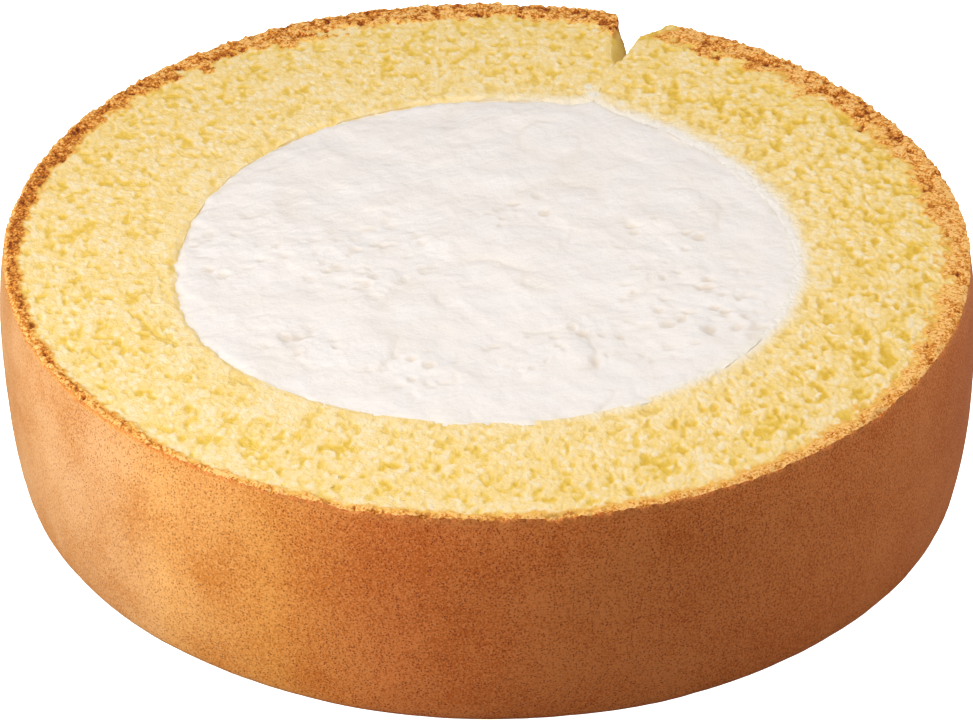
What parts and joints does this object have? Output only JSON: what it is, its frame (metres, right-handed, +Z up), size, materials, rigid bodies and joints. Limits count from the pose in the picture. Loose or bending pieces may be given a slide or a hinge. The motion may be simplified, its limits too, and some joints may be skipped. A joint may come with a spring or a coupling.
{
  "type": "swiss roll cake",
  "caption": "Thick round slice of sponge roll lying flat: a crusted yellow sponge sheet rolled once round a whipped cream core, with a notched seam.",
  "frame": {"origin": "on the surface the slice rests on, at the middle of its round outline", "axes": "+Z up, along the roll's axis, square to both cut faces; +Y towards the side with the seam"},
  "size_m": [0.1015, 0.1014, 0.025],
  "materials": {
    "sponge": "matte open yellow crumb with a browned outer crust",
    "cream": "soft matte whipped cream"
  },
  "bodies": {
    "root": {"sponge": "sponge", "cream": "cream"}
  },
  "joints": []
}
